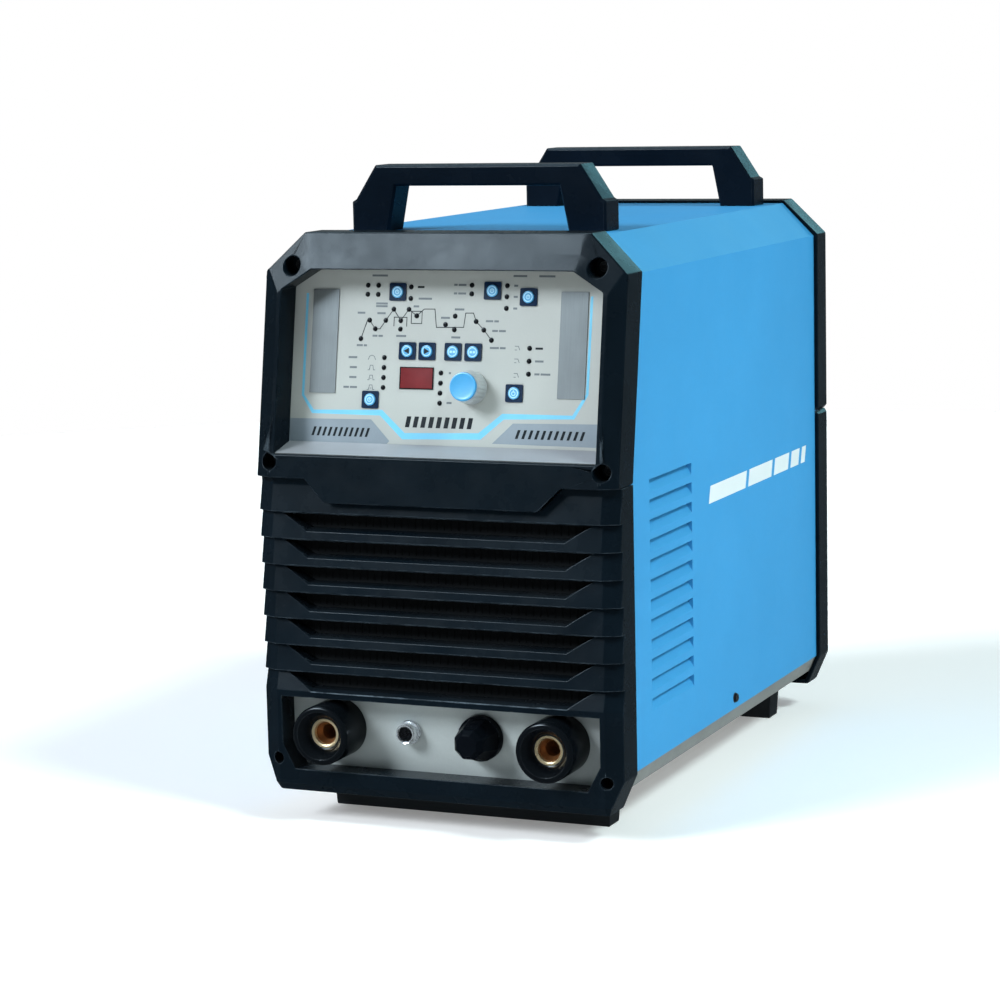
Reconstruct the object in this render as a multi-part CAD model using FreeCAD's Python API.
import FreeCAD, Part
import math
import os

# A 400 A class inverter TIG welding machine: a sheet steel case held between two black
# moulded frames, with two carry handles, a leaning control panel and two weld sockets.
# Millimetres. +Z up, the front faces -Y, +X is to the right of someone facing the front.
# The origin is on the floor, under the middle of the machine.

V = FreeCAD.Vector

# ---- driving dimensions -------------------------------------------------------------
HALF_WIDTH = 160.0            # frames, outside
FRONT_Y = -285.0              # foremost line of the lower front frame
REAR_Y = 279.0                # rear face of the rear frames
FRAME_TOP = 489.0
FRAME_BOTTOM = 25.3
SPLIT_Z = 290.0               # where the upper frames meet the lower ones
SPLIT_GAP = 0.4
TOP_CHAMFER = (33.3, 32.0)    # x and z legs of the top corners
BOTTOM_CHAMFER = (12.4, 28.2)
FRAME_WALL = 3.7
FRAME_EDGE_Y = -248.0         # back edge of the front frames, at the split
FRAME_WRAP = 31.0             # how far the rear frames reach over the cover
FACE_PLATE = 6.0              # thickness of the leaning face
BEVEL_WALL = 3.6              # thickness behind its bevels
RIM = 3.2                     # wall round the recesses
BEYOND = 330.0                # past either end of the machine

LEAN_DEG = 9.8                # the upper front face leans back by this much
LEAN = math.radians(LEAN_DEG)
FACE_FOOT = V(0, -287.0, 294.5)      # a point on the leaning face
PANEL_FOOT = V(0, -259.0, 294.5)     # a point on the front of the control panel
SIDE_BEVEL = (14.0, 7.0)      # the outer edges of the front fall back, x and y
TOP_BEVEL_RUN = 13.4          # the top edge falls back by this much
RECESS_DEPTH = (PANEL_FOOT.y - FACE_FOOT.y) * math.cos(LEAN)

TAB_DROP = 19.0               # the upper frame's tab reaches this far below the split
TAB_TOP_HALF = 113.0
TAB_BOTTOM_HALF = 94.0

OPENING_HALF = 142.0          # control recess and connector recess, half width
OPENING_TOP = 459.4
OPENING_SHOULDER = (115.5, 443.0)
OPENING_SILL = 309.0
SILL_RISE = 7.0
SILL_STRIP = 0.8              # thickness of the bright strip on the sill

FRAME_SCREW_CORE = 2.4        # M5 screws that hold the frames
FRAME_SCREW_HOLE = 2.6
UPPER_SCREWS = [(135.0, 462.0), (147.0, 303.0)]
LOWER_SCREWS = [(147.0, 53.0)]
REAR_SCREWS = [(135.0, 462.0), (148.0, 303.0), (148.0, 276.0), (147.0, 53.0)]
SCREW_WELLS = {(135.0, 462.0): 8.0, (147.0, 303.0): 7.0, (147.0, 53.0): 5.0}
WELL_DEPTH = 16.0
LOWER_SEAT = 4.0              # floor of the lower wells, behind the front plate
REAR_WELL = 5.0               # radius and depth of the rear wells

BOARD_COUNT = 7               # stepped grille boards on the lower front frame
BOARD_PITCH = 22.3
BOARD_STEP = 5.3
FIRST_BOARD = 127.8
BULGE_Z = 111.0
GAP_TOP_HALF = 137.0
GAP_BOTTOM_HALF = 114.6
GAP_TOP_DROP = 1.6
GAP_HEIGHT = 12.6
GAP_BEVEL = 2.3
PLATE_BACK_Y = -268.0         # inner face of the lower front frame

OUTPUT_PANEL_Y = -262.0
OUTPUT_TOP = 106.0
OUTPUT_BOTTOM = 45.0
OUTPUT_CORNER = (131.0, 66.0)
OUTPUT_PLATE = (146.0, 40.0, 112.0)   # half width, foot and top of the sheet itself
REAR_PANEL_Y = 266.0
SHEET = 1.6                   # case cover thickness
PLATE = 2.0                   # trays and panels
REAR_OUT = REAR_PANEL_Y + PLATE

REAR_WINDOW = 139.0           # half width of the opening in the rear frames
REAR_WINDOW_TOP = 466.0
REAR_WINDOW_BOTTOM = 48.0
REAR_SHOULDER = 22.0
REAR_FOOT_CUT = (8.0, 14.0)
REAR_CHAMFER = 4.0
SPLIT_NOTCH = 3.0             # bevel of the rear frames' edges at the split

COVER_HALF = 156.0
COVER_TOP = 486.0
COVER_BOTTOM = 53.0
COVER_CHAMFER = (30.0, 30.5)
COVER_END = 258.0
COVER_PLAY = 0.2
COVER_SCREW = (7.0, 63.0)     # y and z of the low screw on each side
COVER_SCREW_CORE = 2.3
COVER_SCREW_HOLE = 2.4
TRAY_BOTTOM = 38.0
TRAY_FLANGE = 76.0
TRAY_CORNER = (5.6, 13.0)
FLOOR = TRAY_BOTTOM + PLATE

VENT_COUNT = 9                # slots in the tray's floor
VENT_PITCH = 22.0
VENT_STARTS = (-150.0, 110.0)
VENT_SIZE = (3.0, 40.0)       # half width and length

LOUVRE_ROWS = 12
LOUVRE_PITCH = 16.5
LOUVRE_TOP_ROW = 287.0
LOUVRE_Y = (-201.0, -99.0)
LOUVRE_HEIGHT = 11.0
LOUVRE_DEPTH = 7.0
LOUVRE_WALL = 1.2

HANDLE_HALF = 114.5
HANDLE_TOP = 541.0
HANDLE_TOP_HALF = 92.4
HANDLE_KINK = (111.0, 512.5)
HANDLE_SHOULDER = 510.5
HANDLE_DEPTH = 31.0
HANDLE_GAP = (81.2, 73.7, 523.5)     # half width at the cover, at the top, and its height
HANDLE_FRONTS = (-181.0, 197.0)
HANDLE_ROUND = 2.0
HANDLE_BOLT_X = 98.0
HANDLE_BOLT = (6.0, 5.0)      # radius over the corners and height of the bolt heads inside
HANDLE_SLOT = 4.0             # half size of the square hole over each bolt

FOOT_HALF = 127.0
FOOT_FRONTS = (-225.0, 197.0)
FOOT_DEPTH = 28.0
FOOT_TAPER = 3.0
FOOT_END_SLOPE = 0.06

PANEL_SPAN = (12.0, 172.0)    # foot and top of the control panel, up its slope
PANEL_HALF = 147.0
PANEL_SHOULDER = (120.0, 18.0)
BUTTON_RADIUS = 5.0
BUTTON_CLEARANCE = 0.3
BUTTON_PROUD = 2.0
BUTTON_ROOT = 4.0             # how far a button reaches behind the panel's front
BUTTON_EDGE = 0.6
BEZEL = (15.0, 14.4, 1.0)     # width, height and thickness
BEZEL_CORNER = 1.2
BUTTONS = {
    "welding_mode_button": (-48.5, 147.2),
    "output_mode_button": (36.0, 149.0),
    "pulse_button": (67.8, 144.3),
    "step_back_button": (-37.6, 99.0),
    "step_forward_button": (-19.9, 99.0),
    "save_button": (3.3, 99.0),
    "recall_button": (21.1, 99.0),
    "trigger_mode_button": (-69.3, 58.4),
    "gas_test_button": (58.8, 66.6),
}
KNOB = (21.7, 70.0)
KNOB_RADIUS = 13.5
KNOB_TAPER = 1.4
KNOB_BACK = -1.2              # the knob's back, shoulder and front, behind the panel's front
KNOB_SHOULDER = -17.0
KNOB_FRONT = -20.0
KNOB_BORE = -14.0
SHAFT_RADIUS = 3.0
SHAFT_HOLE = 4.5              # hole in the panel for the encoder's sleeve
RUNNING = 0.05                # radial clearance of shafts and pins
ENCODER_HALF = 6.5
ENCODER_DEPTH = 6.0
WASHER = (6.0, 0.6)
DISPLAY = (-28.3, 76.9, 29.4, 17.5)  # centre x, centre height, width, height
DISPLAY_PROUD = 0.8
DISPLAY_BODY = (14.0, 8.0, 6.0)      # half width, half height and front of the display block
STRIPS = ((-113.5, 106.0), (108.0, 106.0))
STRIP_SIZE = (23.6, 86.0)
STRIP_THICK = 0.8
LAMP_RADIUS = 1.7
LAMP_PROUD = 1.0
LAMPS = (
    [(-76.0, 152.5), (-66.5, 152.5), (-76.0, 145.0), (-66.5, 145.0)]
    + [(-36.8, 151.5), (-36.8, 142.0), (17.4, 153.4), (17.4, 146.4)]
    + [(48.5, 153.3), (48.5, 144.4), (48.5, 135.0)]
    + [(-80.5, 108.4), (-73.2, 123.8), (-67.8, 116.7), (-58.5, 123.8), (-51.7, 133.1)]
    + [(-45.0, 123.7), (-45.0, 116.8), (-38.0, 133.1), (-30.8, 127.9)]
    + [(-4.7, 121.1), (3.6, 128.1), (3.4, 117.0), (22.4, 124.0), (29.5, 117.2), (36.6, 109.0)]
    + [(-58.3, 93.2 - 8.2 * i) for i in range(4)]
    + [(-6.8, 81.6 - 8.2 * i) for i in range(4)]
    + [(70.4, 103.1 - 10.4 * i) for i in range(3)]
)
CIRCUIT_BOARD = (125.0, 22.0, 160.0)  # half width, foot and top of the control board
CIRCUIT_DEPTH = (14.0, 15.6)
CIRCUIT_POST = (118.0, 28.0, 154.0, 3.0)

SOCKET_X = 100.0
SOCKET_Z = 78.0
SOCKET_RADIUS = 25.0
SOCKET_FRONT = -301.0
SOCKET_MOUTH = 15.5
SOCKET_HOLE = 19.0
SPIGOT = (18.8, 10.0)         # radius and length behind the panel's front
CONTACT_FRONT = -290.0
CONTACT_RADIUS = 12.5
CONTACT_BORE = 6.75
CONTACT_BORE_DEPTH = 30.0
CONTACT_KEY = (2.2, 16.0)     # half width and length of the key slot
CONTACT_STUD = (6.0, 14.0, 40.0)      # radius, start and end behind the panel's front
SOCKET_NUT = (11.0, 10.0)
SOCKET_WASHER = 18.0

CONTROL_SOCKET_X = -35.0
CONTROL_BARREL = (7.9, 6.4, -274.0)   # outer radius, inner radius and front end
CONTROL_COLLAR = (10.6, 3.0)
CONTROL_HOLE = 8.0
CONTROL_PINS = (5, 3.6, 0.8, -273.2)  # count, pitch radius, pin radius and front end
CONTROL_FACE = -271.0

GAS_X = 30.0
GAS_NOSE = (6.4, -283.0)
GAS_HOLE = 6.5
GAS_COLLAR = 10.0
GAS_BARB = (4.0, 12.0)
GAS_BORE = 2.5
CAP_FRONT = -296.0
CAP_BACK = OUTPUT_PANEL_Y - 0.5
CAP_FLANGE = (19.0, 7.0)
CAP_SIDES = 8
CAP_RADII = (18.5, 13.2, 9.2)
CAP_NOSE = 5.0
CAP_BORE = (6.7, -284.0)

SCREEN_SLOTS = 42
SCREEN_PITCH = 6.4
SCREEN_SLOT = (0.6, 4.5)      # half width and half height
SCREEN_SLANT = 2.2            # sideways shift of a slot through the sheet
SCREEN_HALF = 140.0
SCREEN_THICK = 1.2

FAN_X = 0.0
FAN_Z = 175.0
FAN_HALF = 75.0
FAN_DEPTH = 38.0
FAN_BORE = 71.0
FAN_CORNER = 8.0
FAN_FRONT = REAR_PANEL_Y - FAN_DEPTH
FAN_ARM = (3.0, 5.0)          # half width and thickness of the hub's arms
ROTOR_RADIUS = 68.5
ROTOR_SPAN = (FAN_FRONT + 8.0, REAR_PANEL_Y - 5.0)
HUB_RADIUS = 25.0
FAN_PIN = 3.0
BLADE_COUNT = 7
BLADE_ROOT = (3.0, 3.0, 9.0, 10.0)    # set back, thickness, and half chords at the hub
BLADE_TIP = (3.0, 2.0, 20.0, 14.0)
SCREW_INSET = 8.0
GUARD_WIRE = 2.4
GUARD_RINGS = (22, 36, 50, 64, 74)
GUARD_STANDOFF = 5.0
GUARD_HUB = 12.0
GUARD_FOOT = 4.5

BREAKER_X = 70.0
BREAKER_Z = 400.0
BREAKER_HALF = (27.0, 44.0)
BREAKER_PLAY = 0.3
BREAKER_HOLE = 24.0           # half height of the hole in the rear panel
BREAKER_BACK = 205.0          # its inner end
BREAKER_NOSE = (250.0, 276.0, 22.5)
BREAKER_WELL = (4.0, 260.0, 15.0)
LEVER_Y = 270.0
LEVER_HUB = 5.0
LEVER_PIN = 1.5
LEVER_REACH = 21.0
LEVER_THICK = (3.2, 1.8)      # half thickness at the hub and at the tip
LEVER_REST_DEG = 35.0

GLAND_X = -80.0
GLAND_Z = 400.0
GLAND_END = 301.0
GLAND_BODY = (20.0, 8.0)      # hexagon radius and height
GLAND_DOME = (17.0, 12.0)
GLAND_THREAD = (12.0, 14.0)
GLAND_NUT = (19.0, 9.0)
GLAND_BORE = 7.5
GLAND_HOLE = 12.2

NIPPLE_X = 92.0
NIPPLE_Z = SOCKET_Z
NIPPLE_RADIUS = 6.58          # G 1/4 male thread, over the crests
NIPPLE_BODY = (9.5, 8.0, 26.0)        # hexagon radius, its height, the thread's end
NIPPLE_ROOT = (6.0, 12.0)
NIPPLE_BORE = 3.0
NIPPLE_HOLE = 6.2
EARTH_X = -80.0
EARTH_STUD = (4.0, -12.0, 20.0)
EARTH_NUT = (7.5, 6.5, 10.0)
EARTH_HOLE = 4.2
REAR_PLATE = [(143.0, 40.0), (147.0, 50.0), (147.0, 450.0), (123.0, 473.0)]
REAR_VENTS = ((240, 250, 260), 24, 120, 84)   # heights, pitch, outermost and innermost x
REAR_VENT_HALF = (9.0, 2.0)

SHELF_Z = 168.0
SHELF_HALF = 118.0
SHELF_Y = (-185.0, 190.0)
SHELF_WINDOWS = (-165.0, -50.0, 65.0)
SHELF_WINDOW = (100.0, 20.0)  # length, and the band left above and below
SINK_WIDTH = 100.0
SINK_HEIGHT = 62.0
SINK_FINS = 13
SINK_BASE = 8.0
SINK_START = 6.0
SINK_HALF_LENGTH = 130.0
FIN_HALF = 1.2
SINK_TOP = SHELF_Z + SINK_HEIGHT
MODULE_X = 56.0
SWITCH_STARTS = (-110.0, -55.0, 0.0, 55.0)
SWITCH_SIZE = (76.0, 34.0, 22.0)
RECTIFIER_STARTS = (95.0,)
RECTIFIER_SIZE = (76.0, 26.0, 14.0)
TERMINAL = (4.0, 3.0)
BOARD_Z = SINK_TOP + 34.0
POWER_BOARD = (115.0, -140.0, 120.0)  # half width and span in y
POWER_POSTS = (6.0, (-122.0, 110.0), 2.0, 3.0)
CAN_RADIUS = 17.5
CAN_HEIGHT = 52.0
CAN_EDGE = 2.0
CAN_X = (-85.0, -45.0, 45.0, 85.0)
CAN_Y = (-110.0, -60.0, -10.0)
TRANSFORMER = ((-62.0, 62.0), (10.0, 90.0), 104.0)
TRANSFORMER_WINDOWS = ((-46.0, 12.0), 34.0, 18.0)     # starts, width, yoke
CHOKE = ((-50.0, 50.0), (-110.0, -50.0), 84.0)
CHOKE_WINDOWS = ((-36.0, 10.0), 26.0, 15.0)
COIL_PLAY = 0.2
HF_RING = (26.0, 13.0)        # ring radius and wound radius of the arc starter's coil
HF_PLACE = (-60.0, -190.0)
VALVE_Y = 180.0
VALVE_HALF = 14.0
VALVE_DEPTH = 40.0
VALVE_COIL = (13.0, 40.0)
VALVE_PORTS = (5.0, 4.0)
HOSE_RADII = (6.5, 4.0)
HOSE_ROUTE = ((92.0, 180.0), (92.0, -150.0), (30.0, -205.0), (30.0, -252.0))
HOSE_BEND = 0.45              # share of each run that its bend takes up


# ---- helpers ------------------------------------------------------------------------
def box(x, y, z):
    """A block between the pairs x, y and z."""
    return Part.makeBox(x[1] - x[0], y[1] - y[0], z[1] - z[0], V(x[0], y[0], z[0]))


def about(middle, half):
    """The pair that lies half to each side of middle."""
    return (middle - half, middle + half)


def wire(points):
    return Part.makePolygon(list(points) + [points[0]])


def prism_y(outline, y0, y1):
    """An outline of (x, z) points pushed along Y."""
    face = Part.Face(wire([V(x, y0, z) for x, z in outline]))
    return face.extrude(V(0, y1 - y0, 0))


def prism_x(outline, x0, x1):
    """An outline of (y, z) points pushed along X."""
    face = Part.Face(wire([V(x0, y, z) for y, z in outline]))
    return face.extrude(V(x1 - x0, 0, 0))


def rod(x, z, y0, y1, radius):
    """A round bar along Y."""
    return Part.makeCylinder(radius, y1 - y0, V(x, y0, z), V(0, 1, 0))


def drill(x, z, radius):
    """A round bar along Y, longer than the machine."""
    return rod(x, z, -BEYOND, BEYOND, radius)


def cone(x, z, y0, y1, r0, r1):
    return Part.makeCone(r0, r1, y1 - y0, V(x, y0, z), V(0, 1, 0))


def side_rod(spot, x0, x1, radius):
    """A round bar along X at the (y, z) spot."""
    y, z = spot
    return Part.makeCylinder(radius, x1 - x0, V(x0, y, z), V(1, 0, 0))


def pillar(x, y, z0, z1, radius):
    return Part.makeCylinder(radius, z1 - z0, V(x, y, z0), V(0, 0, 1))


def corners(count, radius, turn=0.0):
    """The corners of a regular polygon round the origin."""
    angles = [turn + 2 * math.pi * i / count for i in range(count)]
    return [(radius * math.cos(a), radius * math.sin(a)) for a in angles]


def polygon_rod(x, z, y0, y1, radius, sides, turn=0.0):
    """A bar along Y with a regular polygon section, radius to the corners."""
    return prism_y([(x + dx, z + dz) for dx, dz in corners(sides, radius, turn)], y0, y1)


def past(point, normal, size=2000.0):
    """A block that fills everything on the side of the plane that normal points to."""
    block = Part.makeBox(size, size, size, V(-size / 2, -size / 2, 0))
    turn = FreeCAD.Rotation(V(0, 0, 1), normal)
    block.Placement = FreeCAD.Placement(point, turn)
    return block


def mirrored(outline):
    """The right half of an (x, z) outline, joined to its mirror image."""
    return list(outline) + [(-x, z) for x, z in reversed(outline)]


def both_sides(shape):
    return [shape, shape.mirror(V(0, 0, 0), V(1, 0, 0))]


def fused(shapes):
    """One solid from several that touch."""
    return shapes[0].multiFuse(shapes[1:]).removeSplitter()


def group(shapes):
    """Separate solids that share one node."""
    return Part.makeCompound(shapes)


def largest(shape):
    return max(shape.Solids, key=lambda solid: solid.Volume)


def edges_ahead_of(shape, y):
    """The edges that lie wholly in front of y."""
    return [edge for edge in shape.Edges if max(v.Y for v in edge.Vertexes) < y]


def edges_along(shape, axis):
    """The straight edges along one axis."""
    found = []
    for edge in shape.Edges:
        run = edge.Vertexes[-1].Point - edge.Vertexes[0].Point
        if run.Length > 0 and abs(run.dot(axis)) > 0.99 * run.Length:
            found.append(edge)
    return found


def on_panel(shape):
    """Moves a shape from the control panel's own axes onto the leaning panel.

    There x is across, y is the depth behind the panel's front, z is up the slope."""
    moved = shape.copy()
    turn = FreeCAD.Rotation(V(1, 0, 0), -LEAN_DEG)
    moved.Placement = FreeCAD.Placement(PANEL_FOOT, turn).multiply(moved.Placement)
    return moved


def save(name, shape):
    shape.exportStep("parts/" + name + ".step")


# ---- frames -------------------------------------------------------------------------
def frame_outline():
    """The octagon that both frames follow."""
    return mirrored([
        (HALF_WIDTH - BOTTOM_CHAMFER[0], FRAME_BOTTOM),
        (HALF_WIDTH, FRAME_BOTTOM + BOTTOM_CHAMFER[1]),
        (HALF_WIDTH, FRAME_TOP - TOP_CHAMFER[1]),
        (HALF_WIDTH - TOP_CHAMFER[0], FRAME_TOP),
    ])


def frame_hollow():
    """The space inside the frames: the cover's outline with a little play."""
    side = COVER_HALF + COVER_PLAY
    return mirrored([
        (HALF_WIDTH - BOTTOM_CHAMFER[0] - RIM, FRAME_BOTTOM + FRAME_WALL),
        (side, COVER_BOTTOM - COVER_PLAY),
        (side, COVER_TOP - COVER_CHAMFER[1] + COVER_PLAY / 2),
        (COVER_HALF - COVER_CHAMFER[0] + COVER_PLAY / 2, COVER_TOP + COVER_PLAY),
    ])


def split_cut(gap):
    """Everything above the line where the upper frames meet the lower ones."""
    return mirrored([
        (2 * HALF_WIDTH, 2 * BEYOND),
        (2 * HALF_WIDTH, SPLIT_Z + gap),
        (TAB_TOP_HALF, SPLIT_Z + gap),
        (TAB_BOTTOM_HALF, SPLIT_Z - TAB_DROP + gap),
    ])


def face_normal():
    """The way the leaning face looks."""
    return V(0, -math.cos(LEAN), math.sin(LEAN))


def face_y(z):
    return FACE_FOOT.y + math.tan(LEAN) * (z - FACE_FOOT.z)


def panel_y(z):
    return PANEL_FOOT.y + math.tan(LEAN) * (z - PANEL_FOOT.z)


def forward(normal):
    """The normal's unit vector, turned to look out of the front."""
    unit = V(normal).normalize()
    return unit if unit.y < 0 else unit * -1


def front_planes():
    """Point and outward normal of each bevel round the leaning face."""
    foot = V(0, face_y(OPENING_TOP), OPENING_TOP)
    top = V(0, foot.y + TOP_BEVEL_RUN, FRAME_TOP)
    planes = [(foot, forward((top - foot).cross(V(1, 0, 0))))]
    up_slope = V(0, math.sin(LEAN), math.cos(LEAN))
    for side in (1, -1):
        inner = V(side * OPENING_SHOULDER[0], foot.y, OPENING_TOP)
        upper = V(side * (HALF_WIDTH - TOP_CHAMFER[0]), top.y, FRAME_TOP)
        outer = V(side * OPENING_HALF, face_y(OPENING_SHOULDER[1]), OPENING_SHOULDER[1])
        planes.append((inner, forward((outer - inner).cross(upper - inner))))
        start = V(side * (HALF_WIDTH - SIDE_BEVEL[0]), FACE_FOOT.y, FACE_FOOT.z)
        fall = V(side * SIDE_BEVEL[0], SIDE_BEVEL[1], 0)
        planes.append((start, forward(fall.cross(up_slope))))
    return planes


def ahead_of_front(plate, bevel_wall):
    """Blocks ahead of the leaning face and its bevels, moved in by the two thicknesses."""
    blocks = [past(FACE_FOOT - face_normal() * plate, face_normal())]
    for point, normal in front_planes():
        blocks.append(past(point - normal * bevel_wall, normal))
    return blocks


def control_opening(grow=0.0):
    return mirrored([
        (OPENING_HALF + grow, OPENING_SILL - grow),
        (OPENING_HALF + grow, OPENING_SHOULDER[1] + grow / 2),
        (OPENING_SHOULDER[0] + grow / 2, OPENING_TOP + grow),
    ])


def sill():
    """The wedge that the opening keeps at its foot, rising towards the panel."""
    root = OPENING_SILL - SILL_RISE
    back = OPENING_SILL + SILL_RISE
    return prism_x([
        (face_y(root), root),
        (face_y(OPENING_SILL), OPENING_SILL),
        (panel_y(back), back),
        (panel_y(root), root),
    ], -OPENING_HALF - 1, OPENING_HALF + 1)


def upper_wells():
    """Bosses, wells and holes of the screws in the leaning face."""
    bosses = []
    bores = []
    for spot in UPPER_SCREWS:
        x, z = spot
        start = face_y(z) + FACE_PLATE / 2
        seat = face_y(z) + FACE_PLATE + WELL_DEPTH
        bosses += both_sides(rod(x, z, start, seat + 3, SCREW_WELLS[spot] + 2))
        bores += both_sides(rod(x, z, -BEYOND, seat, SCREW_WELLS[spot]))
        bores += both_sides(rod(x, z, start, seat + 10, FRAME_SCREW_HOLE))
    return bosses, bores


def upper_front_frame():
    body = prism_y(frame_outline(), -BEYOND, -100)
    body = body.common(prism_y(split_cut(0), -BEYOND, -100))
    edge = V(0, FRAME_EDGE_Y, SPLIT_Z)
    body = body.cut(ahead_of_front(0, 0) + [past(edge, face_normal() * -1)])

    bosses, bores = upper_wells()
    hollow = prism_y(frame_hollow(), -BEYOND, -100).cut(ahead_of_front(FACE_PLATE, BEVEL_WALL))
    floor = FACE_FOOT - face_normal() * RECESS_DEPTH
    rim = prism_y(control_opening(RIM), -BEYOND, -100).cut([past(floor, face_normal() * -1)])
    body = body.cut([hollow.cut([rim] + bosses)])
    opening = prism_y(control_opening(), -BEYOND, -100).cut([sill()])
    return largest(body.cut([opening] + bores))


def board_profile(shift):
    """Side view of the lower front frame: (y, z) points, moved back by shift."""
    front = FRONT_Y + shift
    back = front + BOARD_STEP
    points = [(front + 5, FRAME_BOTTOM), (front, FRAME_BOTTOM + 7), (front, BULGE_Z)]
    for k in range(BOARD_COUNT):
        level = FIRST_BOARD + BOARD_PITCH * k
        points += [(back, level), (front, level)]
    points += [(back, FIRST_BOARD + BOARD_PITCH * BOARD_COUNT), (back, SPLIT_Z)]
    return points + [(FRAME_EDGE_Y, SPLIT_Z), (FRAME_EDGE_Y, FRAME_BOTTOM)]


def board_body():
    middle = HALF_WIDTH - SIDE_BEVEL[0]
    inner = wire([V(middle, y, z) for y, z in board_profile(0)])
    outer = wire([V(HALF_WIDTH, y, z) for y, z in board_profile(SIDE_BEVEL[1])])
    bevels = both_sides(Part.makeLoft([inner, outer], True, True))
    return fused([prism_x(board_profile(0), -middle, middle)] + bevels)


def gap_outline(level, grow):
    """One trapezoid gap of the grille, under the board whose lower edge is at level."""
    top = level - GAP_TOP_DROP
    bottom = top - GAP_HEIGHT - grow
    return mirrored([(GAP_BOTTOM_HALF - grow * 0.3, bottom), (GAP_TOP_HALF, top)])


def grille_gaps():
    gaps = []
    for k in range(BOARD_COUNT):
        level = FIRST_BOARD + BOARD_PITCH * k
        gaps.append(prism_y(gap_outline(level, 0), FRONT_Y - 5, PLATE_BACK_Y + 5))
        rings = []
        for y, grow in ((FRONT_Y - 1, GAP_BEVEL + 0.6), (FRONT_Y + 4.5, 0.0)):
            rings.append(wire([V(x, y, z) for x, z in gap_outline(level, grow)]))
        gaps.append(Part.makeLoft(rings, True, True))
    return gaps


def output_opening(grow=0.0):
    return mirrored([
        (OUTPUT_CORNER[0], OUTPUT_BOTTOM - grow),
        (OPENING_HALF + grow, OUTPUT_CORNER[1]),
        (OPENING_HALF + grow, OUTPUT_TOP + grow),
    ])


def lower_front_frame():
    body = board_body().common(prism_y(frame_outline(), -BEYOND, -100))
    body = body.cut([prism_y(split_cut(-SPLIT_GAP), -BEYOND, -100)])
    hollow = prism_y(frame_hollow(), PLATE_BACK_Y, -100)
    wall = prism_y(output_opening(RIM), PLATE_BACK_Y - 1, OUTPUT_PANEL_Y)
    bosses = []
    bores = []
    for spot in LOWER_SCREWS:
        x, z = spot
        seat = PLATE_BACK_Y + LOWER_SEAT
        bosses += both_sides(rod(x, z, PLATE_BACK_Y - 1, seat + 4, SCREW_WELLS[spot] + 2))
        bores += both_sides(rod(x, z, -BEYOND, seat, SCREW_WELLS[spot]))
        bores += both_sides(rod(x, z, -BEYOND, seat + 8, FRAME_SCREW_HOLE))
    body = body.cut([hollow.cut([wall] + bosses)])
    opening = prism_y(output_opening(), -BEYOND, -100)
    return largest(body.cut([opening] + grille_gaps() + bores))


def rear_frame():
    """Both rear frames in one, before they are parted at the split."""
    body = prism_y(frame_outline(), REAR_Y - FRAME_WRAP, REAR_Y)
    rims = [e for e in body.Edges if min(v.Y for v in e.Vertexes) > REAR_Y - 0.1]
    body = body.makeChamfer(REAR_CHAMFER, rims)
    hollow = prism_y(frame_hollow(), 0, REAR_OUT)
    window = prism_y(mirrored([
        (REAR_WINDOW - REAR_FOOT_CUT[0], REAR_WINDOW_BOTTOM),
        (REAR_WINDOW, REAR_WINDOW_BOTTOM + REAR_FOOT_CUT[1]),
        (REAR_WINDOW, REAR_WINDOW_TOP - REAR_SHOULDER),
        (REAR_WINDOW - REAR_SHOULDER, REAR_WINDOW_TOP),
    ]), 0, BEYOND)
    wells = []
    for x, z in REAR_SCREWS:
        wells += both_sides(rod(x, z, REAR_Y - REAR_WELL, BEYOND, REAR_WELL))
        wells += both_sides(rod(x, z, 0, BEYOND, FRAME_SCREW_HOLE))
    return body.cut([hollow, window] + wells)


def rear_frame_half(upper):
    line = SPLIT_Z + (SPLIT_GAP if upper else -SPLIT_GAP)
    span = (line, 2 * BEYOND) if upper else (-BEYOND, line)
    body = rear_frame().common(box((-BEYOND, BEYOND), (0, BEYOND), span))
    lips = []
    for side in (1, -1):
        corner = V(side * (HALF_WIDTH - SPLIT_NOTCH), 0, line)
        lips.append(past(corner, V(side, 0, -1 if upper else 1)))
    return largest(body.cut(lips))


# ---- case ---------------------------------------------------------------------------
def cover_outline(inset, foot):
    cut = inset * (math.sqrt(2) - 1)
    return mirrored([
        (COVER_HALF - inset, foot),
        (COVER_HALF - inset, COVER_TOP - COVER_CHAMFER[1] - cut),
        (COVER_HALF - COVER_CHAMFER[0] - cut, COVER_TOP - inset),
    ])


def louvre(top, grow):
    """A wedge pressed into the right side; open along its upper edge.

    With grow it is the pushed-in metal, without it is the hollow that shows outside."""
    skin = COVER_HALF + (0 if grow else 2)
    fall = LOUVRE_HEIGHT + (1.5 if grow else 2.0)
    outline = [(skin, top), (COVER_HALF - LOUVRE_DEPTH - grow, top), (skin, top - fall)]
    return prism_y(outline, LOUVRE_Y[0] - grow, LOUVRE_Y[1] + grow)


def handle_bolt_spots():
    """Place of each bolt that holds a handle, as (x, y)."""
    middles = [front + HANDLE_DEPTH / 2 for front in HANDLE_FRONTS]
    return [(side * HANDLE_BOLT_X, y) for y in middles for side in (1, -1)]


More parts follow.
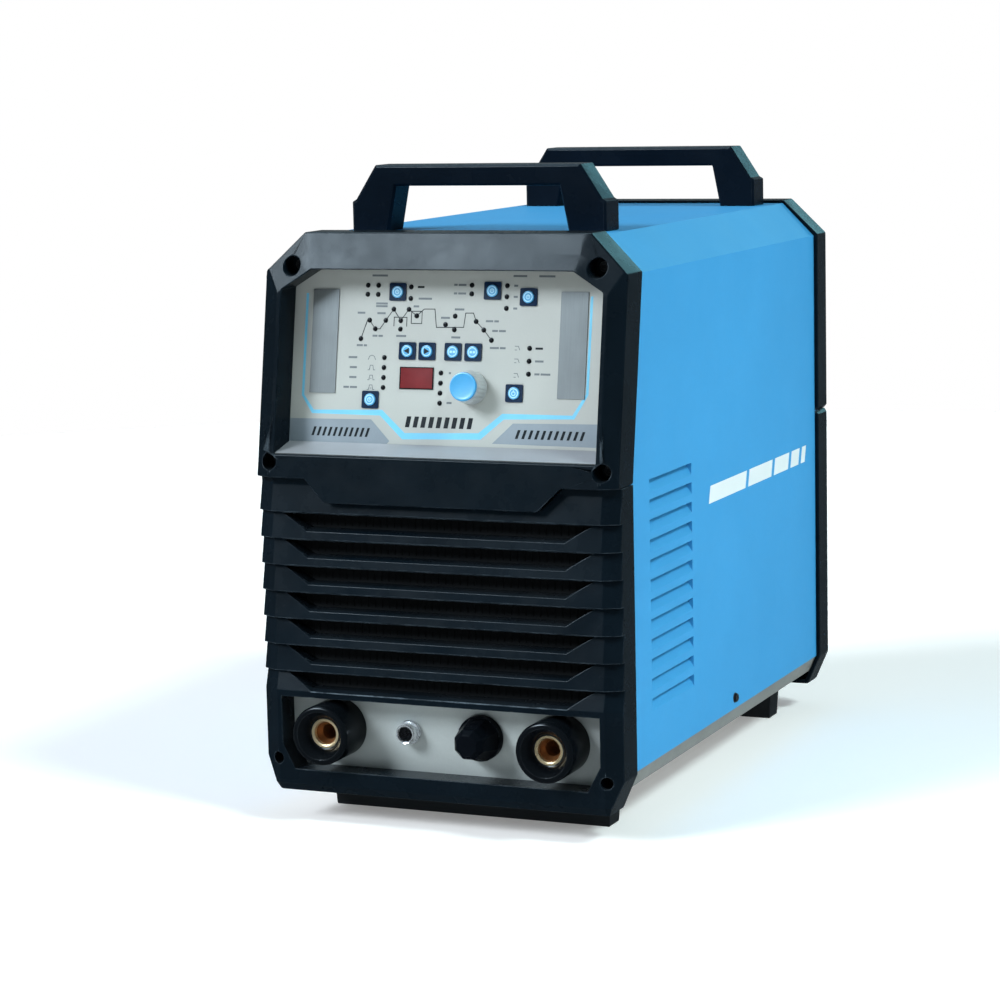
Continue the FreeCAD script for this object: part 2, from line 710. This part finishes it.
def case_cover():
    outer = prism_y(cover_outline(0, COVER_BOTTOM), -COVER_END, COVER_END)
    shell = outer.cut([prism_y(cover_outline(SHEET, 0), -BEYOND, BEYOND)])
    pressed = []
    scoops = []
    for row in range(LOUVRE_ROWS):
        top = LOUVRE_TOP_ROW - LOUVRE_PITCH * row
        pressed += both_sides(louvre(top, LOUVRE_WALL))
        scoops += both_sides(louvre(top, 0.0))
    shell = shell.multiFuse(pressed).cut(scoops)
    lean_back = past(V(0, -COVER_END, SPLIT_Z), face_normal())
    holes = both_sides(side_rod(COVER_SCREW, COVER_HALF - 8, HALF_WIDTH, COVER_SCREW_HOLE))
    for x, y in handle_bolt_spots():
        holes.append(box(about(x, HANDLE_SLOT), about(y, HANDLE_SLOT), (COVER_TOP - 20, FRAME_TOP)))
    return largest(shell.cut([lean_back] + holes))


def tray_outline(inset):
    """The tray's section, drawn in by inset."""
    side = COVER_HALF - SHEET - COVER_PLAY - inset
    return mirrored([
        (side - TRAY_CORNER[0], TRAY_BOTTOM + inset),
        (side, TRAY_BOTTOM + TRAY_CORNER[1]),
        (side, TRAY_FLANGE + inset),
    ])


def base_tray():
    outer = prism_y(tray_outline(0), -COVER_END, COVER_END)
    inner = prism_y(tray_outline(PLATE), -BEYOND, BEYOND)
    lip = prism_y(tray_outline(0), -COVER_END, -COVER_END + PLATE)
    lip = lip.common(box((-BEYOND, BEYOND), (-BEYOND, 0), (0, COVER_BOTTOM - 1)))
    holes = both_sides(side_rod(COVER_SCREW, COVER_HALF - 15, HALF_WIDTH, COVER_SCREW_HOLE))
    half, length = VENT_SIZE
    for i in range(VENT_COUNT):
        x = VENT_PITCH * (i - (VENT_COUNT - 1) / 2)
        for y in VENT_STARTS:
            holes.append(box(about(x, half), (y, y + length), (0, FLOOR + 10)))
    return fused([outer.cut([inner]), lip]).cut(holes)


def handle(front):
    back = front + HANDLE_DEPTH
    foot_half, top_half, gap_top = HANDLE_GAP
    body = prism_y(mirrored([
        (HANDLE_HALF, COVER_TOP), (HANDLE_HALF, HANDLE_SHOULDER), HANDLE_KINK,
        (HANDLE_TOP_HALF, HANDLE_TOP),
    ]), front, back)
    gap = prism_y(mirrored([(foot_half, COVER_TOP - 1), (top_half, gap_top)]), front - 5, back + 5)
    body = body.cut([gap])
    rims = []
    for edge in body.Edges:
        ends = edge.Vertexes
        on_face = abs(ends[0].Y - ends[1].Y) < 0.01
        off_cover = max(ends[0].Z, ends[1].Z) > COVER_TOP + 1
        if on_face and off_cover:
            rims.append(edge)
    return body.makeChamfer(HANDLE_ROUND, rims)


def foot_bar(front):
    back = front + FOOT_DEPTH
    body = prism_x([
        (front, TRAY_BOTTOM), (front + FOOT_TAPER, 0), (back - FOOT_TAPER, 0), (back, TRAY_BOTTOM),
    ], -FOOT_HALF, FOOT_HALF)
    ends = [past(V(s * FOOT_HALF, 0, TRAY_BOTTOM), V(s, 0, -FOOT_END_SLOPE)) for s in (1, -1)]
    return body.cut(ends)


def foot_bars():
    return group([foot_bar(front) for front in FOOT_FRONTS])


# ---- control panel ------------------------------------------------------------------
def control_panel():
    foot, top = PANEL_SPAN
    half, drop = PANEL_SHOULDER
    plate = prism_y(mirrored([(PANEL_HALF, foot), (PANEL_HALF, top - drop), (half, top)]), 0, PLATE)
    holes = [drill(x, s, BUTTON_RADIUS + BUTTON_CLEARANCE) for x, s in BUTTONS.values()]
    holes.append(drill(KNOB[0], KNOB[1], SHAFT_HOLE))
    x, s, width, height = DISPLAY
    holes.append(box(about(x, width / 2), (-1, PLATE + 1), about(s, height / 2)))
    return on_panel(plate.cut(holes))


def display_window():
    x, s, width, height = DISPLAY
    lens = box(about(x, width / 2 - 0.1), (-DISPLAY_PROUD, PLATE), about(s, height / 2 - 0.1))
    return on_panel(lens.makeChamfer(0.5, edges_ahead_of(lens, 0.1 - DISPLAY_PROUD)))


def sill_strip():
    """The bright strip that lies on the sill, from the face back to the panel."""
    rise = V(0, panel_y(OPENING_SILL + SILL_RISE) - face_y(OPENING_SILL), SILL_RISE)
    start = V(0, face_y(OPENING_SILL), OPENING_SILL) + rise * 0.06
    end = start + rise * 0.93
    up = V(0, -rise.z, rise.y).normalize() * SILL_STRIP
    outline = [(p.y, p.z) for p in (start, end, end + up, start + up)]
    return prism_x(outline, 0.3 - OPENING_HALF, OPENING_HALF - 0.3)


def panel_trim_strips():
    """The two brushed strips beside the controls, and the one on the sill."""
    width, height = STRIP_SIZE
    strips = [on_panel(box(about(x, width / 2), (-STRIP_THICK, 0), about(s, height / 2)))
              for x, s in STRIPS]
    return group(strips + [sill_strip()])


def indicator_lights():
    lamps = []
    for x, s in LAMPS:
        dome = rod(x, s, -LAMP_PROUD, 0, LAMP_RADIUS)
        lamps.append(dome.makeFillet(0.7, edges_ahead_of(dome, 0.1 - LAMP_PROUD)))
    return on_panel(group(lamps))


def button_bezels():
    width, height, thick = BEZEL
    frames = []
    for x, s in BUTTONS.values():
        block = box(about(x, width / 2), (-thick, 0), about(s, height / 2))
        block = block.makeFillet(BEZEL_CORNER, edges_along(block, V(0, 1, 0)))
        frames.append(block.cut([drill(x, s, BUTTON_RADIUS + BUTTON_CLEARANCE)]))
    return on_panel(group(frames))


def button(spot):
    cap = rod(spot[0], spot[1], -BUTTON_PROUD, BUTTON_ROOT, BUTTON_RADIUS)
    return on_panel(cap.makeFillet(BUTTON_EDGE, edges_ahead_of(cap, 0.1 - BUTTON_PROUD)))


def encoder_body():
    x, s = KNOB
    back = PLATE + ENCODER_DEPTH
    case = box(about(x, ENCODER_HALF), (PLATE, back), about(s, ENCODER_HALF))
    radius, thick = WASHER
    sleeve = rod(x, s, -thick, PLATE, SHAFT_HOLE - 0.1)
    washer = rod(x, s, -thick, 0, radius)
    bore = rod(x, s, -2, back - 1, SHAFT_RADIUS + RUNNING)
    return on_panel(fused([case, sleeve, washer]).cut([bore]))


def encoder_shaft():
    end = PLATE + ENCODER_DEPTH - 1.2
    return on_panel(rod(KNOB[0], KNOB[1], KNOB_BORE, end, SHAFT_RADIUS))


def knob_skirt():
    x, s = KNOB
    body = cone(x, s, KNOB_SHOULDER, KNOB_BACK, KNOB_RADIUS - KNOB_TAPER, KNOB_RADIUS)
    return on_panel(body.cut([rod(x, s, KNOB_BORE, 0, SHAFT_RADIUS)]))


def knob_cap():
    cap = rod(KNOB[0], KNOB[1], KNOB_FRONT, KNOB_SHOULDER, KNOB_RADIUS - KNOB_TAPER - 0.4)
    return on_panel(cap.makeFillet(1.0, edges_ahead_of(cap, KNOB_FRONT + 0.1)))


def control_board():
    """The circuit board behind the panel, on four posts, with the display's block."""
    half, foot, top = CIRCUIT_BOARD
    pieces = [box(about(0, half), CIRCUIT_DEPTH, (foot, top))]
    post_x, low, high, radius = CIRCUIT_POST
    for x in (-post_x, post_x):
        for s in (low, high):
            pieces.append(rod(x, s, PLATE, CIRCUIT_DEPTH[0], radius))
    half_x, half_s, front = DISPLAY_BODY
    pieces.append(box(about(DISPLAY[0], half_x), (front, CIRCUIT_DEPTH[0]), about(DISPLAY[1], half_s)))
    return on_panel(fused(pieces))


# ---- output side --------------------------------------------------------------------
def output_panel():
    half, foot, top = OUTPUT_PLATE
    plate = box(about(0, half), (OUTPUT_PANEL_Y, OUTPUT_PANEL_Y + PLATE), (foot, top))
    holes = both_sides(drill(SOCKET_X, SOCKET_Z, SOCKET_HOLE))
    holes.append(drill(CONTROL_SOCKET_X, SOCKET_Z, CONTROL_HOLE))
    holes.append(drill(GAS_X, SOCKET_Z, GAS_HOLE))
    for spot in LOWER_SCREWS:
        holes += both_sides(drill(spot[0], spot[1], SCREW_WELLS[spot] + 2.3))
    return plate.cut(holes)


def grille_screen():
    """Fine black screen right behind the grille, with slots that slant through the sheet."""
    y = PLATE_BACK_Y
    span = (OUTPUT_TOP + 7, SPLIT_Z - 10)
    sheet = box(about(0, SCREEN_HALF), (y, y + SCREEN_THICK), span)
    half_x, half_z = SCREEN_SLOT
    slots = []
    for k in range(BOARD_COUNT):
        middle = FIRST_BOARD + BOARD_PITCH * k - GAP_TOP_DROP - GAP_HEIGHT / 2
        for i in range(SCREEN_SLOTS):
            x = (i - (SCREEN_SLOTS - 1) / 2) * SCREEN_PITCH
            ring = wire([
                V(x - half_x, y, middle - half_z),
                V(x + half_x, y, middle - half_z),
                V(x + half_x + SCREEN_SLANT, y + SCREEN_THICK, middle - half_z),
                V(x - half_x + SCREEN_SLANT, y + SCREEN_THICK, middle - half_z),
            ])
            slots.append(Part.Face(ring).extrude(V(0, 0, 2 * half_z)))
    return sheet.cut(slots)


def weld_socket_shells():
    x, z = SOCKET_X, SOCKET_Z
    body = rod(x, z, SOCKET_FRONT, OUTPUT_PANEL_Y, SOCKET_RADIUS)
    body = body.makeChamfer(1.6, edges_ahead_of(body, SOCKET_FRONT + 0.1))
    spigot = rod(x, z, OUTPUT_PANEL_Y, OUTPUT_PANEL_Y + SPIGOT[1], SPIGOT[0])
    mouth = cone(x, z, SOCKET_FRONT - 0.1, CONTACT_FRONT, SOCKET_MOUTH + 2.5, SOCKET_MOUTH)
    seat = rod(x, z, CONTACT_FRONT - 1, 0, CONTACT_RADIUS)
    return group(both_sides(fused([body, spigot]).cut([mouth, seat])))


def weld_socket_contacts():
    x, z = SOCKET_X, SOCKET_Z
    front = CONTACT_FRONT
    radius, start, end = CONTACT_STUD
    sleeve = rod(x, z, front, OUTPUT_PANEL_Y + start, CONTACT_RADIUS)
    stud = rod(x, z, OUTPUT_PANEL_Y + start, OUTPUT_PANEL_Y + end, radius)
    bore = rod(x, z, front - 1, front + CONTACT_BORE_DEPTH, CONTACT_BORE)
    lead = cone(x, z, front - 0.1, front + 2, CONTACT_BORE + 2.1, CONTACT_BORE)
    half, length = CONTACT_KEY
    key = box(about(x, half), (front - 1, front + length), (z - CONTACT_BORE - half, z))
    return group(both_sides(fused([sleeve, stud]).cut([bore, lead, key])))


def weld_socket_nuts():
    start = OUTPUT_PANEL_Y + CONTACT_STUD[1]
    radius, height = SOCKET_NUT
    nut = polygon_rod(SOCKET_X, SOCKET_Z, start, start + height, radius, 6)
    nut = nut.cut([drill(SOCKET_X, SOCKET_Z, CONTACT_STUD[0])])
    washer = rod(SOCKET_X, SOCKET_Z, OUTPUT_PANEL_Y + SPIGOT[1], start, SOCKET_WASHER)
    washer = washer.cut([drill(SOCKET_X, SOCKET_Z, CONTACT_RADIUS)])
    return group(both_sides(nut) + both_sides(washer))


def control_socket_shell():
    x, z = CONTROL_SOCKET_X, SOCKET_Z
    outer, inner, front = CONTROL_BARREL
    radius, thick = CONTROL_COLLAR
    panel_back = OUTPUT_PANEL_Y + PLATE
    barrel = rod(x, z, front, OUTPUT_PANEL_Y + 10, outer)
    collar = polygon_rod(x, z, OUTPUT_PANEL_Y - thick, OUTPUT_PANEL_Y, radius, 6)
    flange = rod(x, z, panel_back, panel_back + thick, radius)
    return fused([barrel, collar, flange]).cut([drill(x, z, inner)])


def control_socket_insert():
    x, z = CONTROL_SOCKET_X, SOCKET_Z
    count, pitch_radius, radius, front = CONTROL_PINS
    pieces = [rod(x, z, CONTROL_FACE, OUTPUT_PANEL_Y + 9, CONTROL_BARREL[1])]
    pieces.append(rod(x, z, front, CONTROL_FACE + 1, radius + 0.2))
    for i in range(count):
        angle = math.pi * (0.1 + 0.45 * i)
        pin_x = x + pitch_radius * math.cos(angle)
        pin_z = z + pitch_radius * math.sin(angle)
        pieces.append(rod(pin_x, pin_z, front, CONTROL_FACE + 1, radius))
    return fused(pieces)


def gas_outlet_fitting():
    radius, front = GAS_NOSE
    start = OUTPUT_PANEL_Y + PLATE
    end = OUTPUT_PANEL_Y + 10
    nose = rod(GAS_X, SOCKET_Z, front, end, radius)
    collar = polygon_rod(GAS_X, SOCKET_Z, start, end, GAS_COLLAR, 6)
    barb = rod(GAS_X, SOCKET_Z, end, end + GAS_BARB[1], GAS_BARB[0])
    return fused([nose, collar, barb]).cut([drill(GAS_X, SOCKET_Z, GAS_BORE)])


def dust_cap():
    """Faceted plug cap over the gas outlet: a flange, a taper and a flat nose."""
    radius, thick = CAP_FLANGE
    shoulder = CAP_BACK - thick
    rings = []
    for y, reach in zip((shoulder, CAP_FRONT + CAP_NOSE, CAP_FRONT), CAP_RADII):
        spots = corners(CAP_SIDES, reach, math.pi / CAP_SIDES)
        rings.append(wire([V(GAS_X + dx, y, SOCKET_Z + dz) for dx, dz in spots]))
    pieces = [Part.makeLoft(rings[:2], True, True), Part.makeLoft(rings[1:], True, True)]
    pieces.append(rod(GAS_X, SOCKET_Z, shoulder, CAP_BACK, radius))
    bore = rod(GAS_X, SOCKET_Z, CAP_BORE[1], CAP_BACK + 1, CAP_BORE[0])
    return fused(pieces).cut([bore])


# ---- rear side ----------------------------------------------------------------------
def rear_panel():
    plate = prism_y(mirrored(REAR_PLATE), REAR_PANEL_Y, REAR_OUT)
    holes = [drill(FAN_X, FAN_Z, FAN_BORE), drill(GLAND_X, GLAND_Z, GLAND_HOLE)]
    holes += [drill(NIPPLE_X, NIPPLE_Z, NIPPLE_HOLE), drill(EARTH_X, NIPPLE_Z, EARTH_HOLE)]
    holes.append(box(about(BREAKER_X, BREAKER_HALF[0]), (0, BEYOND), about(BREAKER_Z, BREAKER_HOLE)))
    heights, pitch, outermost, innermost = REAR_VENTS
    half_x, half_z = REAR_VENT_HALF
    for z in heights:
        for x in range(-outermost, outermost + 1, pitch):
            if abs(x) > innermost:
                holes.append(box(about(x, half_x), (0, BEYOND), about(z, half_z)))
    return plate.cut(holes)


def fan_screw_spots():
    reach = FAN_HALF - SCREW_INSET
    return [(FAN_X + sx * reach, FAN_Z + sz * reach) for sx in (1, -1) for sz in (1, -1)]


def fan_spokes(bar):
    """Four copies of an upright bar over the fan's centre, turned to the corners."""
    return [bar.copy().rotate(V(FAN_X, 0, FAN_Z), V(0, 1, 0), 45 + 90 * i) for i in range(4)]


def fan_frame():
    y0 = FAN_FRONT
    half, thick = FAN_ARM
    block = box(about(FAN_X, FAN_HALF), (y0, REAR_PANEL_Y), about(FAN_Z, FAN_HALF))
    block = block.makeFillet(FAN_CORNER, edges_along(block, V(0, 1, 0)))
    block = block.cut([drill(FAN_X, FAN_Z, FAN_BORE)])
    arm = box(about(FAN_X, half), (y0, y0 + thick), (FAN_Z + HUB_RADIUS - 3, FAN_Z + FAN_BORE + 2))
    hub = rod(FAN_X, FAN_Z, y0, y0 + thick + 1, HUB_RADIUS)
    pin = rod(FAN_X, FAN_Z, y0 + thick, REAR_PANEL_Y - 8, FAN_PIN)
    return fused([block, pin, hub] + fan_spokes(arm))


def blade_section(x, sizes):
    """A thin slanted four-sided section of a blade at the distance x from the axle."""
    back, thick, low, high = sizes
    y0 = ROTOR_SPAN[0] + back
    y1 = ROTOR_SPAN[1] - back
    spots = [(y0, -low), (y0 + thick, -low), (y1, high), (y1 - thick, high)]
    return wire([V(x, y, z) for y, z in spots])


def fan_rotor():
    start, end = ROTOR_SPAN
    root = blade_section(HUB_RADIUS - 2, BLADE_ROOT)
    tip = blade_section(ROTOR_RADIUS + 1, BLADE_TIP)
    blade = Part.makeLoft([root, tip], True, True)
    blade.translate(V(FAN_X, 0, FAN_Z))
    pieces = [rod(FAN_X, FAN_Z, start, end, HUB_RADIUS)]
    for i in range(BLADE_COUNT):
        turn = 360.0 / BLADE_COUNT * i
        pieces.append(blade.copy().rotate(V(FAN_X, 0, FAN_Z), V(0, 1, 0), turn))
    rotor = fused(pieces).common(rod(FAN_X, FAN_Z, start - 5, end + 5, ROTOR_RADIUS))
    return largest(rotor.cut([rod(FAN_X, FAN_Z, start - 5, end - 2.5, FAN_PIN + RUNNING)]))


def fan_guard():
    """A finger guard: rings and four arms that reach the corner feet."""
    y0 = REAR_OUT + GUARD_STANDOFF
    y1 = y0 + GUARD_WIRE
    half = GUARD_WIRE / 2
    pieces = [rod(FAN_X, FAN_Z, y0, y1, GUARD_HUB)]
    for radius in GUARD_RINGS:
        ring = rod(FAN_X, FAN_Z, y0, y1, radius + half)
        pieces.append(ring.cut([drill(FAN_X, FAN_Z, radius - half)]))
    reach = (FAN_HALF - SCREW_INSET) * math.sqrt(2)
    arm = box(about(FAN_X, half), (y0, y1), (FAN_Z + GUARD_HUB - 2, FAN_Z + reach))
    feet = [rod(x, z, REAR_OUT, y1, GUARD_FOOT) for x, z in fan_screw_spots()]
    return fused(pieces + fan_spokes(arm) + feet)


def breaker_body():
    half_x, half_z = BREAKER_HALF
    width = about(BREAKER_X, half_x - BREAKER_PLAY)
    start, end, half_nose = BREAKER_NOSE
    wall, floor, half_well = BREAKER_WELL
    body = box(width, (BREAKER_BACK, REAR_PANEL_Y), about(BREAKER_Z, half_z))
    nose = box(width, (start, end), about(BREAKER_Z, half_nose))
    well = box(about(BREAKER_X, half_x - wall), (floor, BEYOND), about(BREAKER_Z, half_well))
    ends = about(BREAKER_X, half_x - 2)
    bore = side_rod((LEVER_Y, BREAKER_Z), ends[0], ends[1], LEVER_PIN + RUNNING)
    return fused([body, nose]).cut([well, bore])


def breaker_lever():
    half = BREAKER_HALF[0] - BREAKER_WELL[0] - 0.6
    across = about(BREAKER_X, half)
    pins = about(BREAKER_X, half + 2)
    axle = (LEVER_Y, BREAKER_Z)
    tip = LEVER_Y + LEVER_REACH
    thick, thin = LEVER_THICK
    blade = prism_x([
        (LEVER_Y, BREAKER_Z - thick), (tip, BREAKER_Z - thin),
        (tip, BREAKER_Z + thin), (LEVER_Y, BREAKER_Z + thick),
    ], across[0], across[1])
    hub = side_rod(axle, across[0], across[1], LEVER_HUB)
    lever = fused([hub, side_rod(axle, pins[0], pins[1], LEVER_PIN), blade])
    return lever.rotate(V(0, LEVER_Y, BREAKER_Z), V(1, 0, 0), -LEVER_REST_DEG)


def cable_gland():
    x, z = GLAND_X, GLAND_Z
    base = REAR_OUT
    shoulder = base + GLAND_BODY[1]
    radius, length = GLAND_THREAD
    pieces = [polygon_rod(x, z, base, shoulder, GLAND_BODY[0], 6)]
    pieces.append(cone(x, z, shoulder, GLAND_END, GLAND_DOME[0], GLAND_DOME[1]))
    pieces.append(rod(x, z, base - length, base, radius))
    pieces.append(polygon_rod(x, z, base - GLAND_NUT[1], base - PLATE, GLAND_NUT[0], 6))
    return fused(pieces).cut([drill(x, z, GLAND_BORE)])


def gas_inlet_nipple():
    x, z = NIPPLE_X, NIPPLE_Z
    radius, shoulder, end = NIPPLE_BODY
    pieces = [polygon_rod(x, z, REAR_OUT, REAR_OUT + shoulder, radius, 6)]
    pieces.append(rod(x, z, REAR_OUT - NIPPLE_ROOT[1], REAR_OUT, NIPPLE_ROOT[0]))
    pieces.append(rod(x, z, REAR_OUT + shoulder, REAR_OUT + end, NIPPLE_RADIUS))
    return fused(pieces).cut([drill(x, z, NIPPLE_BORE)])


def earth_stud():
    x, z = EARTH_X, NIPPLE_Z
    radius, start, end = EARTH_STUD
    size, height, back = EARTH_NUT
    pieces = [rod(x, z, REAR_OUT + start, REAR_OUT + end, radius)]
    pieces.append(polygon_rod(x, z, REAR_OUT, REAR_OUT + height, size, 6))
    pieces.append(polygon_rod(x, z, REAR_OUT - back, REAR_OUT - PLATE, size, 6))
    return fused(pieces)


# ---- inside -------------------------------------------------------------------------
def inner_shelf():
    outer = box(about(0, SHELF_HALF), SHELF_Y, (FLOOR, SHELF_Z))
    inner = box(about(0, SHELF_HALF - PLATE), (-BEYOND, BEYOND), (0, SHELF_Z - PLATE))
    length, band = SHELF_WINDOW
    windows = [box((-BEYOND, BEYOND), (y, y + length), (FLOOR + band, SHELF_Z - band))
               for y in SHELF_WINDOWS]
    return outer.cut([inner] + windows)


def heat_sinks():
    pitch = SINK_WIDTH / (SINK_FINS - 1)
    root = SINK_TOP - SINK_BASE
    outline = [(SINK_START - FIN_HALF, SINK_TOP)]
    for i in range(SINK_FINS):
        x = SINK_START + pitch * i
        outline += [(x - FIN_HALF, SHELF_Z), (x + FIN_HALF, SHELF_Z)]
        if i < SINK_FINS - 1:
            outline += [(x + FIN_HALF, root), (x + pitch - FIN_HALF, root)]
    outline.append((SINK_START + SINK_WIDTH + FIN_HALF, SINK_TOP))
    return group(both_sides(prism_y(outline, -SINK_HALF_LENGTH, SINK_HALF_LENGTH)))


def modules(x, starts, size):
    """Power modules side by side on a heat sink, each with three terminal posts."""
    width, depth, height = size
    radius, tall = TERMINAL
    top = SINK_TOP + height
    blocks = []
    for y in starts:
        pieces = [box(about(x, width / 2), (y, y + depth), (SINK_TOP, top))]
        for across in (-width / 3, 0, width / 3):
            pieces.append(pillar(x + across, y + depth / 2, top, top + tall, radius))
        blocks.append(fused(pieces))
    return blocks


def power_modules():
    """Four transistor modules and a flat rectifier module on each heat sink."""
    blocks = []
    for x in (MODULE_X, -MODULE_X):
        blocks += modules(x, SWITCH_STARTS, SWITCH_SIZE)
        blocks += modules(x, RECTIFIER_STARTS, RECTIFIER_SIZE)
    return group(blocks)


def power_board():
    half, start, end = POWER_BOARD
    pieces = [box(about(0, half), (start, end), (BOARD_Z, BOARD_Z + PLATE))]
    post_x, post_y, half_x, half_y = POWER_POSTS
    for x in (-post_x, post_x):
        for y in post_y:
            pieces.append(box(about(x, half_x), about(y, half_y), (SINK_TOP, BOARD_Z)))
    return fused(pieces)


def capacitors():
    foot = BOARD_Z + PLATE
    cans = []
    for x in CAN_X:
        for y in CAN_Y:
            can = pillar(x, y, foot, foot + CAN_HEIGHT, CAN_RADIUS)
            rims = [e for e in can.Edges if min(v.Z for v in e.Vertexes) > foot + 1]
            cans.append(can.makeFillet(CAN_EDGE, rims))
    return group(cans)


def iron_core(size, windows):
    """A shell core with two windows beside its middle leg."""
    across, along, height = size
    starts, width, yoke = windows
    body = box(across, along, (FLOOR, FLOOR + height))
    span = (FLOOR + yoke, FLOOR + height - yoke)
    return body.cut([box((x, x + width), (-BEYOND, BEYOND), span) for x in starts])


def iron_coil(size, windows, build):
    """The winding round the middle leg, build thick."""
    across, along, height = size
    starts, width, yoke = windows
    half_x = (starts[1] - starts[0] - width) / 2 + COIL_PLAY
    half_y = (along[1] - along[0]) / 2 + COIL_PLAY
    y = (along[0] + along[1]) / 2
    span = (FLOOR + yoke + 1, FLOOR + height - yoke - 1)
    outer = box(about(0, half_x + build), about(y, half_y + build), span)
    outer = outer.makeFillet(build * 0.9, edges_along(outer, V(0, 0, 1)))
    return outer.cut([box(about(0, half_x), about(y, half_y), (0, BEYOND))])


def hf_coil():
    return Part.makeTorus(HF_RING[0], HF_RING[1], V(HF_PLACE[0], HF_PLACE[1], FLOOR + 14), V(0, 0, 1))


def gas_valve():
    x, y, z = NIPPLE_X, VALVE_Y, NIPPLE_Z
    back = y + VALVE_DEPTH
    body = box(about(x, VALVE_HALF), (y, back), (FLOOR, z + VALVE_HALF))
    radius, tall = VALVE_COIL
    can = pillar(x, y + VALVE_DEPTH / 2, z + VALVE_HALF, z + VALVE_HALF + tall, radius)
    inlet = rod(x, z, back, REAR_OUT - NIPPLE_ROOT[1], VALVE_PORTS[0])
    barb = rod(x, z, y - GAS_BARB[1], y, VALVE_PORTS[1])
    return fused([body, can, inlet, barb])


def hose_path():
    """The hose's middle line: straight runs with a round bend at each corner."""
    points = [V(x, y, NIPPLE_Z) for x, y in HOSE_ROUTE]
    edges = []
    start = points[0]
    for before, corner, after in zip(points, points[1:], points[2:]):
        back = (before - corner).normalize()
        ahead = (after - corner).normalize()
        turn = math.pi - back.getAngle(ahead)
        run = min(before.distanceToPoint(corner), after.distanceToPoint(corner)) * HOSE_BEND
        radius = run / math.tan(turn / 2)
        bisector = (back + ahead).normalize()
        middle = corner + bisector * (radius / math.cos(turn / 2) - radius)
        entry = corner + back * run
        leave = corner + ahead * run
        edges.append(Part.LineSegment(start, entry).toShape())
        edges.append(Part.Arc(entry, middle, leave).toShape())
        start = leave
    edges.append(Part.LineSegment(start, points[-1]).toShape())
    return Part.Wire(edges)


def gas_hose():
    """The hose from the valve to the outlet, in a level plane at the fittings' height."""
    path = hose_path()
    start = path.Edges[0].Vertexes[0].Point
    tubes = []
    for radius in HOSE_RADII:
        ring = Part.Wire([Part.makeCircle(radius, start, V(0, -1, 0))])
        tubes.append(path.makePipeShell([ring], True, False))
    return tubes[0].cut([tubes[1]])


# ---- fasteners ----------------------------------------------------------------------
def screw_y(spot, head, facing, length):
    """A socket screw along Y: head is the y of its seat, facing is -1 at the front."""
    x, z = spot
    radius = FRAME_SCREW_CORE
    tall = radius * 1.1
    top = rod(x, z, *sorted((head, head + facing * tall)), radius * 1.75)
    shank = rod(x, z, *sorted((head, head - facing * length)), radius)
    drive = polygon_rod(x, z, *sorted((head + facing * tall, head + facing)), radius * 0.9, 6)
    return fused([top, shank]).cut([drive])


def frame_screws():
    screws = []
    for spot in UPPER_SCREWS:
        seat = face_y(spot[1]) + FACE_PLATE + WELL_DEPTH
        screws += both_sides(screw_y(spot, seat, -1, 6))
    for spot in LOWER_SCREWS:
        screws += both_sides(screw_y(spot, PLATE_BACK_Y + LOWER_SEAT, -1, 5))
    for spot in REAR_SCREWS:
        screws += both_sides(screw_y(spot, REAR_Y - REAR_WELL, 1, 5))
    return group(screws)


def cover_screw():
    """The cross head screw low on the right side."""
    y, z = COVER_SCREW
    head = Part.makeCone(4.6, 3.4, 2.6, V(COVER_HALF, y, z), V(1, 0, 0))
    shank = side_rod(COVER_SCREW, COVER_HALF - 7, COVER_HALF, COVER_SCREW_CORE)
    deep = (COVER_HALF + 1.4, HALF_WIDTH)
    cross = [box(deep, about(y, 2.6), about(z, 0.5)), box(deep, about(y, 0.5), about(z, 2.6))]
    return fused([head, shank]).cut(cross)


def handle_bolt(x, y):
    """The hexagon head of a handle's bolt, under the cover."""
    radius, height = HANDLE_BOLT
    foot = COVER_TOP - SHEET - height
    ring = wire([V(x + dx, y + dy, foot) for dx, dy in corners(6, radius)])
    return Part.Face(ring).extrude(V(0, 0, height))


def case_screws():
    """The cover's side screws, and the handles' bolt heads inside."""
    return group(both_sides(cover_screw()) + [handle_bolt(x, y) for x, y in handle_bolt_spots()])


# ---- all parts ----------------------------------------------------------------------
PLAIN_PARTS = (
    upper_front_frame, lower_front_frame, case_cover, base_tray, foot_bars, control_panel,
    display_window, panel_trim_strips, indicator_lights, button_bezels, encoder_body,
    encoder_shaft, knob_skirt, knob_cap, control_board, output_panel, grille_screen,
    weld_socket_shells, weld_socket_contacts, weld_socket_nuts, control_socket_shell,
    control_socket_insert, gas_outlet_fitting, dust_cap, rear_panel, fan_frame, fan_rotor,
    fan_guard, breaker_body, breaker_lever, cable_gland, gas_inlet_nipple, earth_stud,
    inner_shelf, heat_sinks, power_modules, power_board, capacitors, hf_coil, gas_valve,
    gas_hose, frame_screws, case_screws,
)


def build():
    os.makedirs("parts", exist_ok=True)
    for maker in PLAIN_PARTS:
        save(maker.__name__, maker())
    save("upper_rear_frame", rear_frame_half(True))
    save("lower_rear_frame", rear_frame_half(False))
    save("front_handle", handle(HANDLE_FRONTS[0]))
    save("rear_handle", handle(HANDLE_FRONTS[1]))
    save("transformer_core", iron_core(TRANSFORMER, TRANSFORMER_WINDOWS))
    save("transformer_coil", iron_coil(TRANSFORMER, TRANSFORMER_WINDOWS, 14.0))
    save("choke_core", iron_core(CHOKE, CHOKE_WINDOWS))
    save("choke_coil", iron_coil(CHOKE, CHOKE_WINDOWS, 11.0))
    for name, spot in BUTTONS.items():
        save(name, button(spot))


build()
